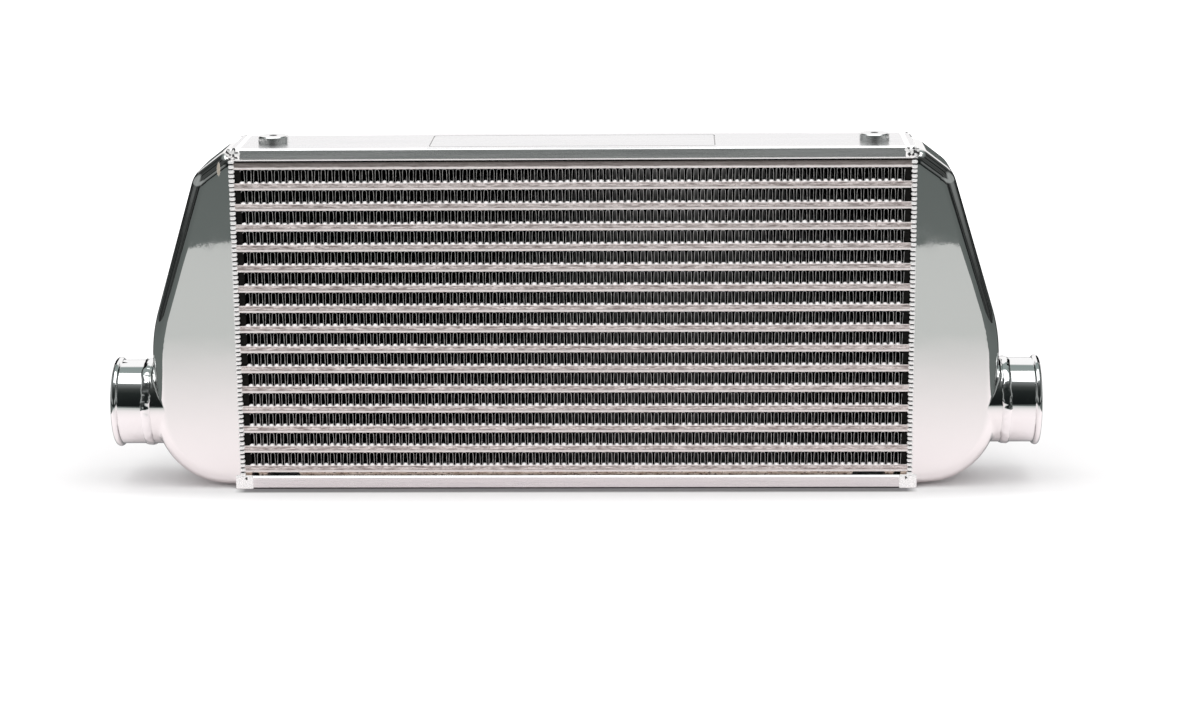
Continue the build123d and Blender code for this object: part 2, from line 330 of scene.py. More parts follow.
below_face = fade(tree, height, TOP_PLATE_HEAD - 0.30 * MM, TOP_PLATE_HEAD - 0.10 * MM, 1.0, 0.0)
near_face = maths(tree, "GREATER_THAN", height, TOP_PLATE_HEAD - 0.6 * MM)
along_frame = fade(tree, from_middle, FRAME_HALF_LENGTH, FRAME_HALF_LENGTH + 1 * MM, 1.0, 0.0)
frame_line = maths(tree, "MULTIPLY", below_face, maths(tree, "MULTIPLY", near_face, along_frame))
# Painted shade along the foot of the lower plate; the frame line is drawn dark beside it.
foot_painted_shade = fade(tree, height, 1.2 * MM, 1.5 * MM, 1.0, 0.0)
foot_shade_and_frame_line = maths(tree, "MAXIMUM", foot_painted_shade, maths(tree, "MULTIPLY", frame_line, 0.8))

bright_lines = fade(tree, surface["Lines"], 0.3, 0.7)
tone = mix_colours(tree, bright_lines, (0.80, 0.80, 0.81, 1.0), (0.90, 0.895, 0.90, 1.0))
paler = mix_colours(tree, ground_end_and_bevel_highlight, tone, (1.0, 0.985, 0.98, 1.0))
tree.links.new(mix_colours(tree, foot_shade_and_frame_line, paler, (0.10, 0.09, 0.09, 1.0)), sockets["Base Color"])
dull = fade(tree, surface["Broad"], 0.3, 0.7, 0.20, 0.32)
tree.links.new(maths(tree, "ADD", dull, maths(tree, "MULTIPLY", ground_end_and_bevel_highlight, 0.25)), sockets["Roughness"])
tree.links.new(fade(tree, ground_end_and_bevel_highlight, 0.0, 1.0, 1.0, 0.1), sockets["Metallic"])
raise_surface(tree, sockets, surface["Lines"], 0.010 * MM)
tell(plate_finish)

# %% Finish: bosses
boss_finish, tree, sockets = start_finish("turned boss", (0.88, 0.88, 0.88), 1.0, 0.16)
rings = grain(tree, (400 * MM, 400 * MM, 0.5 * MM), detail=3.0)
tree.links.new(fade(tree, rings, 0.3, 0.7, 0.10, 0.26), sockets["Roughness"])
raise_surface(tree, sockets, rings, 0.05 * MM)
tell(boss_finish)

# %% [markdown]
# Bars. Sixteen pairs of bars close the charge passages. Their faces are matt and mottled, with a pale line
# along the lower edge and a darker strip just above it. The pattern repeats with the rows, so a Modulo node
# folds the height into one row and the line is drawn once. The upper part of the top bar lies in the shadow
# of the side plate, which is painted as a darker colour.

# %% Finish: bars
lowest_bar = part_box("front_bar_01")
second_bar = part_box("front_bar_02")
ROW_PITCH = second_bar[0].z - lowest_bar[0].z
BAR_FOOT = lowest_bar[0].z
BAR_HEIGHT = lowest_bar[1].z - lowest_bar[0].z
TOP_BAR_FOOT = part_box("front_bar_16")[0].z
ROW_MARGIN = 1 * MM
PALE_LINE_EDGE = (0.9 * MM, 1.4 * MM)
DARK_STRIP_EDGE = (1.6 * MM, 2.6 * MM)
TOP_SHADE_EDGE = (TOP_BAR_FOOT + 1.6 * MM, TOP_BAR_FOOT + 2.2 * MM)
print("row pitch in mm:", round(ROW_PITCH / MM, 2), "bar height:", round(BAR_HEIGHT / MM, 2))


def height_in_row(tree):
    """Height above the foot of the row's bar, from a margin under it up to the margin under the next."""
    above = maths(tree, "ADD", place_on_piece(tree)[2], ROW_PITCH - BAR_FOOT + ROW_MARGIN)
    return maths(tree, "SUBTRACT", maths(tree, "MODULO", above, ROW_PITCH), ROW_MARGIN)


bar_finish, tree, sockets = start_finish("brazed bar", (0.76, 0.70, 0.68), 0.55, 0.5)
surface = use_group(tree, stain, Speck_Share=0.36)
mottled = mix_colours(tree, surface["Patches"], (0.30, 0.25, 0.24, 1.0), (0.96, 0.885, 0.865, 1.0))
specked = mix_colours(tree, surface["Specks"], mottled, (0.36, 0.25, 0.21, 1.0))
level = height_in_row(tree)
dark_strip = fade(tree, level, *DARK_STRIP_EDGE, 0.40, 0.0)
with_strip = mix_colours(tree, dark_strip, specked, (0.36, 0.31, 0.30, 1.0))
pale_lower_line = fade(tree, level, *PALE_LINE_EDGE, 1.0, 0.0)
with_line = mix_colours(tree, pale_lower_line, with_strip, (1.0, 0.975, 0.965, 1.0))
# Painted shadow of the side plate over the upper part of the top bar.
top_bar_painted_shade = fade(tree, place_on_piece(tree)[2], *TOP_SHADE_EDGE, 0.0, 0.85)
with_painted_shade = mix_colours(tree, top_bar_painted_shade, with_line, (0.20, 0.175, 0.165, 1.0))
tree.links.new(with_painted_shade, sockets["Base Color"])
tree.links.new(fade(tree, surface["Patches"], 0.0, 1.0, 0.42, 0.6), sockets["Roughness"])
raise_surface(tree, sockets, surface["Height"], 0.12 * MM)
tell(bar_finish)

# %% [markdown]
# Parting sheets. These half-millimetre sheets part the charge air from the cooling air. Only their edges and
# the first millimetres inside each fin channel catch the light, where molten braze pooled and left them
# almost white. Deeper in, the channels lie in shade, so the depth group fades them from pale to a painted
# shade.
# The sheet over the top bar lies in the shade of the side plate, painted darker. Where the braze pooled into
# domes it is white and glossy.

# %% Finish: sheets and pooled braze
sheet_finish, tree, sockets = start_finish("brazed sheet", (0.9, 0.85, 0.84), 0.35, 0.5)
surface = use_group(tree, stain, Speck_Share=0.3)
near = use_group(tree, depth, Reach=11 * MM)["Near Face"]
pale = mix_colours(tree, surface["Patches"], (0.98, 0.88, 0.86, 1.0), (1.0, 0.97, 0.96, 1.0))
# Painted shade: dark deep in the fin channels, pale at their mouths.
lit_mouth = fade(tree, near, 0.1, 0.5)
pale_with_painted_shade = mix_colours(tree, lit_mouth, (0.06, 0.055, 0.055, 1.0), pale)
# Painted shade of the side plate on the sheet over the top bar.
under_plate = fade(tree, place_on_piece(tree)[2], TOP_BAR_FOOT + 4 * MM, TOP_BAR_FOOT + 4.5 * MM)
tree.links.new(mix_colours(tree, under_plate, pale_with_painted_shade, (0.16, 0.14, 0.13, 1.0)), sockets["Base Color"])
raise_surface(tree, sockets, surface["Height"], 0.08 * MM)

dome_finish, tree, sockets = start_finish("pooled braze", (1.0, 0.96, 0.95), 0.0, 0.22)
sockets["Specular IOR Level"].default_value = 1.0
surface = use_group(tree, stain, Speck_Share=0.3)
pale = mix_colours(tree, surface["Patches"], (1.0, 0.95, 0.94, 1.0), (1.0, 1.0, 1.0, 1.0))
tree.links.new(pale, sockets["Base Color"])
tell(sheet_finish, dome_finish)

# %% [markdown]
# Spacers and end bars. The spacers in the slot over the lower plate were tanned by the furnace, and flux
# burnt brown specks on them. The strip under the top plate belongs to the same node but lies in deep shade,
# which is painted black, so it is told apart by its height. The end bars close the fin rows at the tanks,
# deep in their corners where shade falls, and are coloured near black as painted shade.

# %% Finish: spacers and end bars
spacer_finish, tree, sockets = start_finish("tanned spacer", (0.60, 0.50, 0.42), 0.6, 0.5)
surface = use_group(tree, stain, Speck_Share=0.4)
tan = mix_colours(tree, surface["Patches"], (0.40, 0.29, 0.22, 1.0), (0.86, 0.76, 0.68, 1.0))
specked_tan = mix_colours(tree, surface["Specks"], tan, (0.16, 0.11, 0.09, 1.0))
# The strip under the top plate is painted black as shade.
top_strip = maths(tree, "GREATER_THAN", place_on_piece(tree)[2], TOP_BAR_FOOT)
tree.links.new(mix_colours(tree, top_strip, specked_tan, (0.006, 0.006, 0.006, 1.0)), sockets["Base Color"])
raise_surface(tree, sockets, surface["Height"], 0.15 * MM)

# The end bars are coloured near black as painted shade of their deep corners.
end_bar_finish, tree, sockets = start_finish("shaded end bar", (0.008, 0.008, 0.008), 0.0, 0.8)
sockets["Specular IOR Level"].default_value = 0.1
surface = use_group(tree, stain, Speck_Share=0.25)
end_bar_painted_shade = mix_colours(tree, surface["Patches"], (0.004, 0.004, 0.004, 1.0), (0.012, 0.011, 0.010, 1.0))
tree.links.new(end_bar_painted_shade, sockets["Base Color"])
tell(spacer_finish, end_bar_finish)

# %% [markdown]
# Air fins and turbulators. From the front a fin strip is black, with a thin grey line where its edge was cut.
# The black isn't paint: it is a channel 76 mm deep that sends no light back. A renderer would need dozens
# of bounces for that, so the fins are black past their first third of a millimetre, and grey metal at the
# cut. The turbulators are hidden in the charge passages and need no more than a dusty grey.

# %% Finish: fins and turbulators
fin_finish, tree, sockets = start_finish("air fin", (0.1, 0.1, 0.1), 0.7, 0.45)
cut_edge = fade(tree, use_group(tree, depth, Reach=1.5 * MM)["Near Face"], 0.60, 0.70)
worn = fade(tree, grain(tree, (9 * MM, 9 * MM, 5 * MM), detail=3.0), 0.35, 0.65)
edge_tone = mix_colours(tree, worn, (0.40, 0.40, 0.40, 1.0), (0.75, 0.74, 0.73, 1.0))
tree.links.new(mix_colours(tree, cut_edge, (0.012, 0.012, 0.012, 1.0), edge_tone), sockets["Base Color"])
sockets["Specular IOR Level"].default_value = 0.0
tree.links.new(maths(tree, "MULTIPLY", cut_edge, 0.7), sockets["Metallic"])

turbulator_finish, tree, sockets = start_finish("turbulator", (0.5, 0.5, 0.5), 0.9, 0.4)
dusty = grain(tree, (6 * MM, 6 * MM, 2 * MM), detail=3.0)
grey = mix_colours(tree, dusty, (0.36, 0.36, 0.36, 1.0), (0.62, 0.62, 0.61, 1.0))
tree.links.new(grey, sockets["Base Color"])
tell(fin_finish, turbulator_finish)

# %% [markdown]
# The frame's own nodes. Their meshes stay as they are and only take a finish in place of their plain one. The
# record names a material slot for each node, so a table from slot to finish dresses them all in one loop.

# %% Hand the finishes to the frame's own nodes
def dress(node_name, finish):
    """Puts a finish on every material slot of a CAD node."""
    carrier = cad_nodes[node_name]
    if not carrier.material_slots:
        carrier.data.materials.append(finish)
    for slot in carrier.material_slots:
        slot.material = finish


finish_of_slot = {
    "bar": bar_finish,
    "parting_sheet": sheet_finish,
    "end_bar": end_bar_finish,
    "spacer": spacer_finish,
    "side_plate": plate_finish,
    "boss": boss_finish,
    "turbulator": turbulator_finish,
    "air_fin": fin_finish,
    "tank": tank_finish,
    "pipe": pipe_finish,
    "weld": weld_finish,
}
slot_of_node = {part["node"]: part["material_slot"] for part in frame["record"]["subparts"]}
for node_name, slot_name in slot_of_node.items():
    dress(node_name, finish_of_slot[slot_name])
print("dressed nodes:", len(slot_of_node))


# %% [markdown]
# New pieces. Each is shaped in a bmesh, given smooth faces and a finish, and then attached to the body it
# rides on; where it stands in for a CAD node, that node is hidden. One function ends them all alike. Edges
# that turn by more than a given angle stay sharp.

# %% End of a piece
SHELL_SHARP = math.radians(35)
FIN_SHARP = math.radians(50)
BEAD_SHARP = math.radians(70)


def finish_piece(shape, name, slot_name, node_name=None, sharp=SHELL_SHARP, finish=None):
    """A piece made of a bmesh, with its slot's finish or its own, in place of a CAD node if one is given."""
    for face in shape.faces:
        face.smooth = True
    for edge in shape.edges:
        edge.smooth = len(edge.link_faces) == 2 and edge.calc_face_angle(0.0) < sharp
    mesh = bpy.data.meshes.new(name)
    shape.to_mesh(mesh)
    shape.free()
    mesh.materials.append(finish or finish_of_slot[slot_name])
    piece = bpy.data.objects.new(name, mesh)
    bpy.context.scene.collection.objects.link(piece)
    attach(piece, "root")
    if node_name:
        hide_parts(node_name)
    return piece


# %% [markdown]
# Polished shells. The frame's meshes are loose triangles, each with its own corners, so a curved face would
# mirror the room in flat facets. A copy with its corners merged can be shaded smooth. A Weighted Normal
# modifier then lets the large faces set the normals, so that flat faces stay flat up to their rounded edges.

# %% Pieces: tanks, pipe stubs and bosses
MERGE_DISTANCE = 0.001 * MM


def merged_copy(node_name):
    """A bmesh of a CAD node with its loose triangles joined."""
    shape = bmesh.new()
    shape.from_mesh(cad_nodes[node_name].data)
    bmesh.ops.remove_doubles(shape, verts=shape.verts, dist=MERGE_DISTANCE)
    return shape


def smooth_shell(node_name, piece_name):
    """A smooth-shaded stand-in for a CAD node, of the same shape."""
    piece = finish_piece(merged_copy(node_name), piece_name, slot_of_node[node_name], node_name)
    weigh = piece.modifiers.new("flat faces stay flat", "WEIGHTED_NORMAL")
    weigh.weight = 100
    weigh.keep_sharp = True
    return piece


shells = [
    smooth_shell("left_tank", "left_tank_shell"),
    smooth_shell("right_tank", "right_tank_shell"),
    smooth_shell("left_pipe_stub", "left_stub_shell"),
    smooth_shell("right_pipe_stub", "right_stub_shell"),
    smooth_shell("mounting_bosses", "boss_pair"),
]
print("shell faces:", {shell.name: len(shell.data.polygons) for shell in shells})

# %% [markdown]
# Air fins. A fin strip is one ribbon of thin sheet, folded over a form into round waves with slightly
# leaning sides. The ribbon's edge line is drawn for one wave: a vertex spun round the fold's centre makes the
# arc, and an extruded vertex makes the flank. The wave is then copied along the row, extruded through the
# core's depth, and a Solidify modifier gives the sheet its thickness. A slow noise pushes the waves out of
# step a little.

# %% Piece: air fins
FIN_PITCH = 5.92 * MM
FIN_METAL = 0.35 * MM
FIN_FRONT = 37.75 * MM
CREST_RADIUS = 1.75 * MM
ROOT_RADIUS = 0.95 * MM
FOLD_STEPS = 6
FIN_ROWS = 15
DRIFT = 1.0 * MM
DRIFT_LENGTH = 26 * MM
BEND = 0.30 * MM
BEND_LENGTH = 5 * MM


def fin_lean(pitch, height):
    """Angle of the sides that runs them into both folds without a kink, found by halving."""
    folds = CREST_RADIUS + ROOT_RADIUS
    low, high = 0.0, math.radians(20)
    for _ in range(40):
        lean = (low + high) / 2
        reach = folds * (1 / math.cos(lean) - math.tan(lean)) + height * math.tan(lean)
        low, high = (lean, high) if reach < pitch / 2 else (low, lean)
    return lean


def sway(x, tip, row):
    """How far a wave stands out of step: x along the row, tip from -1 at the roots to 1 at the crests."""
    drift = noise.noise(Vector((x / DRIFT_LENGTH, row * 3.7, 0.0))) * DRIFT
    bend = noise.noise(Vector((x / BEND_LENGTH, row * 5.3, 9.0))) * BEND
    return drift + bend * tip


def moved_verts(made):
    """The vertices in what an operator returned."""
    return [part for part in made if isinstance(part, bmesh.types.BMVert)]


def add_fold(shape, vertex, centre, angle):
    """Spins a vertex round a fold's centre and returns the last vertex."""
    spun = bmesh.ops.spin(shape, geom=[vertex], cent=centre, axis=(0, 1, 0), angle=angle, steps=FOLD_STEPS)
    return moved_verts(spun["geom_last"])[0]


def add_flank(shape, vertex, run, rise):
    """Extrudes a vertex along a straight side and returns the new one."""
    made = bmesh.ops.extrude_vert_indiv(shape, verts=[vertex])["verts"][0]
    bmesh.ops.translate(shape, verts=[made], vec=(run, 0, rise))
    return made


def fin_layout(row):
    """Corners of a fin row, its number of waves, their pitch and the place of the first crest."""
    low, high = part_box(f"air_fin_{row:02d}")
    length = high.x - low.x - FIN_METAL
    waves = int(length / FIN_PITCH)
    return low, high, waves, length / waves, low.x + FIN_METAL / 2 + CREST_RADIUS


def copy_along(shape, count, pitch, end_x):
    """Copies a bmesh along X by doubling it, until there are count of it and nothing lies past end_x."""
    have = 1
    while have < count:
        copy = bmesh.ops.duplicate(shape, geom=shape.verts[:] + shape.edges[:] + shape.faces[:])["geom"]
        bmesh.ops.translate(shape, verts=moved_verts(copy), vec=(have * pitch, 0, 0))
        have *= 2
    spare = [vertex for vertex in shape.verts if vertex.co.x > end_x]
    bmesh.ops.delete(shape, geom=spare, context="VERTS")


def fin_strip(row):
    """The air fins of one row, as one folded ribbon."""
    low, high, waves, pitch, crest = fin_layout(row)
    top = high.z - FIN_METAL / 2
    foot = low.z + FIN_METAL / 2
    lean = fin_lean(pitch, top - foot)
    rise = top - foot - (CREST_RADIUS + ROOT_RADIUS) * (1 - math.sin(lean))
    run = rise * math.tan(lean)
    turn = math.pi - 2 * lean
    ribbon = bmesh.new()
    start_x = crest - CREST_RADIUS * math.cos(lean)
    first = ribbon.verts.new((start_x, -FIN_FRONT, top - CREST_RADIUS * (1 - math.sin(lean))))
    over = add_fold(ribbon, first, (crest, -FIN_FRONT, top - CREST_RADIUS), turn)
    down = add_flank(ribbon, over, run, -rise)
    under = add_fold(ribbon, down, (crest + pitch / 2, -FIN_FRONT, foot + ROOT_RADIUS), -turn)
    add_flank(ribbon, under, run, rise)
    copy_along(ribbon, waves, pitch, high.x)
    bmesh.ops.remove_doubles(ribbon, verts=ribbon.verts, dist=0.01 * MM)
    middle = (top + foot) / 2
    for vertex in ribbon.verts:
        vertex.co.x += sway(vertex.co.x, (vertex.co.z - middle) / (top - middle), row)
    wall = bmesh.ops.extrude_edge_only(ribbon, edges=ribbon.edges[:])["geom"]
    bmesh.ops.translate(ribbon, verts=moved_verts(wall), vec=(0, 2 * FIN_FRONT, 0))
    bmesh.ops.recalc_face_normals(ribbon, faces=ribbon.faces)
    piece = finish_piece(ribbon, f"fin_strip_{row:02d}", "air_fin", f"air_fin_{row:02d}", FIN_SHARP)
    sheet = piece.modifiers.new("sheet thickness", "SOLIDIFY")
    sheet.thickness = FIN_METAL
    sheet.offset = 0.0
    return piece, waves


strips = [fin_strip(row) for row in range(1, FIN_ROWS + 1)]
print("fin strips:", len(strips), "waves in each:", strips[0][1])

# %% [markdown]
# Braze in the mouths of the fins. In the furnace the braze ran to the front edge of each sheet and pooled
# between the fin roots, where it froze in small bright domes. They are what draws the white scalloped line
# above every bar. Each is half a ball, squashed and sunk in the sheet, and they sway with their fins.

# %% Piece: braze domes
DOME_HALF_WIDTH = 2.75 * MM
DOME_HEIGHT = 2.2 * MM
DOME_HALF_DEPTH = 2.2 * MM
DOME_SETBACK = 0.1 * MM
DOME_SUNK = 0.1 * MM


def braze_domes(row):
    """The pooled braze at the foot of one fin row, at the front and at the rear."""
    low, high, waves, pitch, crest = fin_layout(row)
    domes = bmesh.new()
    for side in (-1, 1):
        y = side * (FACE - DOME_SETBACK - DOME_HALF_DEPTH)
        squash = Matrix.Diagonal((DOME_HALF_WIDTH, DOME_HALF_DEPTH, DOME_HEIGHT, 1.0))
        place = Matrix.Translation((crest, y, low.z)) @ squash
        ball = bmesh.ops.create_uvsphere(domes, u_segments=10, v_segments=6, radius=1.0, matrix=place)
        lower = [vertex for vertex in ball["verts"] if vertex.co.z < low.z - DOME_SUNK]
        bmesh.ops.delete(domes, geom=lower, context="VERTS")
    copy_along(domes, waves, pitch, high.x)
    for vertex in domes.verts:
        nearest = crest + round((vertex.co.x - crest) / pitch) * pitch
        share = 0.8 + 0.35 * noise.noise(Vector((nearest / (2.3 * MM), row * 2.1, vertex.co.y * 10)))
        vertex.co.z = low.z + (vertex.co.z - low.z) * share
        vertex.co.x += sway(vertex.co.x, -1.0, row)
    return finish_piece(domes, f"braze_domes_{row:02d}", "parting_sheet", finish=dome_finish)


dome_rows = [braze_domes(row) for row in range(1, FIN_ROWS + 1)]
print("faces of braze in a row:", len(dome_rows[0].data.polygons))

# %% [markdown]
# Weld beads. A hand-laid bead is a row of small puddles, each frozen over the last like fallen coins. A
# ribbed tube would look turned on a lathe, so every puddle is its own squashed ball, laid along the seam
# with small seeded changes in pitch, width and lean. Where a bead runs under the cooler it was ground off
# level, so no point may go below the floor.

# %% Helper: puddles along a seam
PUDDLE_SIDES = 12
PUDDLE_RINGS = 10


def add_puddle(shape, centre, outward, along, half_sizes, lean):
    """A squashed ball: half_sizes are across the seam, along it and out of the surface."""
    across = along.cross(outward)
    turned = Matrix((across, outward, along)).transposed().to_4x4()
    tipped = Matrix.Rotation(lean, 4, "X")
    across_size, along_size, out_size = half_sizes
    squash = Matrix.Diagonal((across_size, out_size, along_size, 1.0))
    place = Matrix.Translation(centre) @ turned @ tipped @ squash
    puddle = bmesh.new()
    bmesh.ops.create_uvsphere(
        puddle, u_segments=PUDDLE_SIDES, v_segments=PUDDLE_RINGS, radius=1.0, matrix=place
    )
    tip_share = puddle.verts.layers.float.new("tip_share")
    for vertex in puddle.verts:
        vertex[tip_share] = abs((vertex.co - centre).dot(along)) / along_size
    carrier = bpy.data.meshes.new("puddle")
    puddle.to_mesh(carrier)
    puddle.free()
    shape.from_mesh(carrier)
    bpy.data.meshes.remove(carrier)


def grind_level(shape):
    """Grinds off what would lie below the floor."""
    for vertex in shape.verts:
        vertex.co.z = max(vertex.co.z, 0.0)


# %% [markdown]
# The seam between a tank and the core runs round a rectangle with rounded corners. One function walks it: it
# takes the distance along the seam and gives the point, the outward direction and the direction of travel.
# The half length of a puddle is a little more than half its step, so that neighbours overlap.

# %% Piece: tank beads
left_tank_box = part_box("left_tank")
SEAM_HALF_DEPTH = 38.25 * MM
SEAM_FOOT = left_tank_box[0].z
SEAM_HEAD = left_tank_box[1].z
SEAM_CORNER = 13 * MM
BEAD_PITCH = 4.1 * MM
BEAD_HALF_WIDTH = 2.9 * MM
BEAD_PROUD = 1.6 * MM
BEAD_SUNK = 0.5 * MM
HALF_LENGTH_PER_STEP = 0.58
SEAM_SIDE = SEAM_HEAD - SEAM_FOOT - 2 * SEAM_CORNER
SEAM_TOP = 2 * (SEAM_HALF_DEPTH - SEAM_CORNER)
SEAM_ARC = SEAM_CORNER * math.pi / 2


def walk_seam(distance):
    """Point in Y and Z, outward and forward directions at this distance, from the front foot upwards."""
    heading = math.pi / 2
    spot = Vector((0.0, -SEAM_HALF_DEPTH, SEAM_FOOT + SEAM_CORNER))
    for straight in (SEAM_SIDE, SEAM_TOP, SEAM_SIDE, SEAM_TOP):
        forward = Vector((0.0, math.cos(heading), math.sin(heading)))
        outward = Vector((0.0, -forward.z, forward.y))
        if distance <= straight:
            return spot + forward * distance, outward, forward
        distance -= straight
        spot = spot + forward * straight
        centre = spot - outward * SEAM_CORNER
        if distance <= SEAM_ARC:
            turned = Matrix.Rotation(-distance / SEAM_CORNER, 3, "X")
            return centre + turned @ (outward * SEAM_CORNER), turned @ outward, turned @ forward
        distance -= SEAM_ARC
        quarter = Matrix.Rotation(-math.pi / 2, 3, "X")
        spot = centre + quarter @ (outward * SEAM_CORNER)
        heading -= math.pi / 2
    return spot, outward, forward


def lay_tank_bead(shape, seam_x, dice):
    """One bead round the seam at seam_x, and how many puddles it took."""
    whole = 2 * SEAM_SIDE + 2 * SEAM_TOP + 4 * SEAM_ARC
    distance = 0.0
    count = 0
    while distance < whole - BEAD_PITCH / 2:
        spot, outward, forward = walk_seam(distance)
        width = BEAD_HALF_WIDTH * dice.uniform(0.93, 1.0)
        proud = BEAD_PROUD * dice.uniform(0.85, 1.08)
        step = BEAD_PITCH * dice.uniform(0.94, 1.06)
        centre = spot - outward * BEAD_SUNK + Vector((seam_x + dice.uniform(-0.15, 0.15) * MM, 0, 0))
        sizes = (width, HALF_LENGTH_PER_STEP * step, proud + BEAD_SUNK)
        add_puddle(shape, centre, outward, forward, sizes, dice.uniform(0.05, 0.2))
        distance += step
        count += 1
    return count


# %% [markdown]
# Corners. Where the seam meets the corner of the top plate the welder stopped and started, which leaves a
# lump. It is a ball pushed about by noise and flattened on the corner. At the lower corners the lump was
# ground into a smooth pad: a cube with generous bevels, with a small pit where the torch lifted. Its faces
# are subdivided first, so that the pit has points to push in.

# %% Helper: lumps and pads
LUMP_HALF_SIZE = (5.6 * MM, 1.5 * MM, 4.9 * MM)
LUMP_INSET = 1.8 * MM
LUMP_LEVEL = 305.4 * MM
OUTER_FACE = 40.4 * MM
PAD_SIZE = (16.0 * MM, 3.0 * MM, 12.6 * MM)
PAD_PROUD = 0.7 * MM
PAD_INSET = 1.6 * MM
PAD_BEVEL = 1.35 * MM
PAD_CUTS = 11
PIT_RADIUS = 1.3 * MM
PIT_DEPTH = 0.9 * MM
PIT_FROM_MIDDLE = 2.0 * MM
PIT_FROM_TOP = 2.6 * MM
DARK_PATCH_SIZE = 2.0 * MM
COARSE_SWELL = 3.1 * MM
FINE_SWELL = 1.6 * MM


def add_lump(shape, x, y, z, seed):
    """A frozen start-and-stop lump on the corner of the top plate."""
    scaled = Matrix.Translation((x, y, z)) @ Matrix.Diagonal((*LUMP_HALF_SIZE, 1.0))
    ball = bmesh.ops.create_icosphere(shape, subdivisions=4, radius=1.0, matrix=scaled)["verts"]
    centre = Vector((x, y, z))
    tip_share = shape.verts.layers.float["tip_share"]
    for vertex in ball:
        vertex[tip_share] = 0.56 + 0.5 * noise.noise(vertex.co / DARK_PATCH_SIZE + Vector((seed, seed, seed)))
        offset = vertex.co - centre
        swell = 1.0 + 0.50 * noise.noise(vertex.co / COARSE_SWELL + Vector((seed, 0, 0)))
        swell += 0.25 * noise.noise(vertex.co / FINE_SWELL + Vector((0, seed, 0)))
        vertex.co = centre + offset * swell
        vertex.co.y = max(-OUTER_FACE, min(OUTER_FACE, vertex.co.y))


def add_pad(shape, x, y, side):
    """A ground pad over a lower corner, with a pit near its upper edge."""
    wide, deep, high = PAD_SIZE
    place = Matrix.Translation((x, y, high / 2)) @ Matrix.Diagonal((wide, deep, high, 1.0))
    pad = bmesh.ops.create_cube(shape, size=1.0, matrix=place)["verts"]
    edges = list({edge for vertex in pad for edge in vertex.link_edges})
    bmesh.ops.bevel(shape, geom=edges, offset=PAD_BEVEL, segments=4, affect="EDGES", profile=0.5, material=-1)
    middles = [(face, face.calc_center_median()) for face in shape.faces]
    flat = [face for face, middle in middles
            if abs(middle.x - x) < wide / 2 and abs(middle.y - y) < deep and middle.z < high]
    cut = list({edge for face in flat for edge in face.edges if edge.calc_length() > 2 * PAD_BEVEL})
    bmesh.ops.subdivide_edges(shape, edges=cut, cuts=PAD_CUTS, use_grid_fill=True)
    pit = Vector((x - side * PIT_FROM_MIDDLE, y + math.copysign(deep / 2, y), high - PIT_FROM_TOP))
    tip_share = shape.verts.layers.float["tip_share"]
    for vertex in shape.verts:
        away = (vertex.co - pit).length / PIT_RADIUS
        if away < 1.0:
            # The pit is coloured fully dark as painted shade.
            vertex[tip_share] = 1.0
            vertex.co.y -= math.copysign(PIT_DEPTH * (1 - away), y)


dice = random.Random(11)
beads = bmesh.new()
beads.verts.layers.float.new("tip_share")
puddles = 0
for side in (-1, 1):
    puddles += lay_tank_bead(beads, side * WELD_LINE, dice)
    for face_side in (-1, 1):
        corner_y = face_side * (PLATE_FACE - 0.3 * MM)
        add_lump(beads, side * (WELD_LINE - LUMP_INSET), corner_y, LUMP_LEVEL, 3.0 * side + face_side)
        pad_y = face_side * (PLATE_FACE + PAD_PROUD - PAD_SIZE[1] / 2)
        add_pad(beads, side * (WELD_LINE - PAD_INSET), pad_y, side)
grind_level(beads)
tank_beads = finish_piece(beads, "tank_beads", "weld", "tank_welds", BEAD_SHARP)
print("puddles in the tank beads:", puddles, "faces:", len(tank_beads.data.polygons))

# %% [markdown]
# The stub beads join the pipe stubs to the necks of the tanks. They were laid hot and then buffed, so no
# separate puddles are left, only a low lumpy ring. A half-round profile is spun round the pipe, and noise
# pushes the ring's points in and out and from side to side.

# %% Piece: stub beads
STUB_BEAD_X = 386 * MM
PIPE_RADIUS = 38 * MM
PIPE_HEIGHT = 72 * MM
STUB_BEAD_HALF_WIDTH = 4.4 * MM
STUB_BEAD_PROUD = 1.5 * MM
STUB_BEAD_SUNK = 0.4 * MM
PROFILE_STEPS = 10
RING_STEPS = 200
RING_LUMP = 0.55 * MM
RING_RIPPLE = 0.35 * MM
RING_WEAVE = 1.4 * MM


def lay_stub_bead(shape, seam_x):
    """One smooth half-round ring round a pipe."""
    rim = PIPE_RADIUS - STUB_BEAD_SUNK
    first = shape.verts.new((seam_x - STUB_BEAD_HALF_WIDTH, 0.0, PIPE_HEIGHT + rim))
    bmesh.ops.spin(
        shape, geom=[first], cent=(seam_x, 0.0, PIPE_HEIGHT + rim), axis=(0, 1, 0),
        angle=math.pi, steps=PROFILE_STEPS
    )
    profile = [first]
    while len(profile) <= PROFILE_STEPS:
        profile += [edge.other_vert(profile[-1]) for edge in profile[-1].link_edges
                    if edge.other_vert(profile[-1]) not in profile]
    squash = (STUB_BEAD_PROUD + STUB_BEAD_SUNK) / STUB_BEAD_HALF_WIDTH
    for vertex in profile:
        vertex.co.z = PIPE_HEIGHT + rim + (vertex.co.z - PIPE_HEIGHT - rim) * squash
    edges = list({edge for vertex in profile for edge in vertex.link_edges})
    bmesh.ops.spin(
        shape, geom=profile + edges, cent=(seam_x, 0.0, PIPE_HEIGHT), axis=(1, 0, 0),
        angle=2 * math.pi, steps=RING_STEPS, use_merge=True
    )


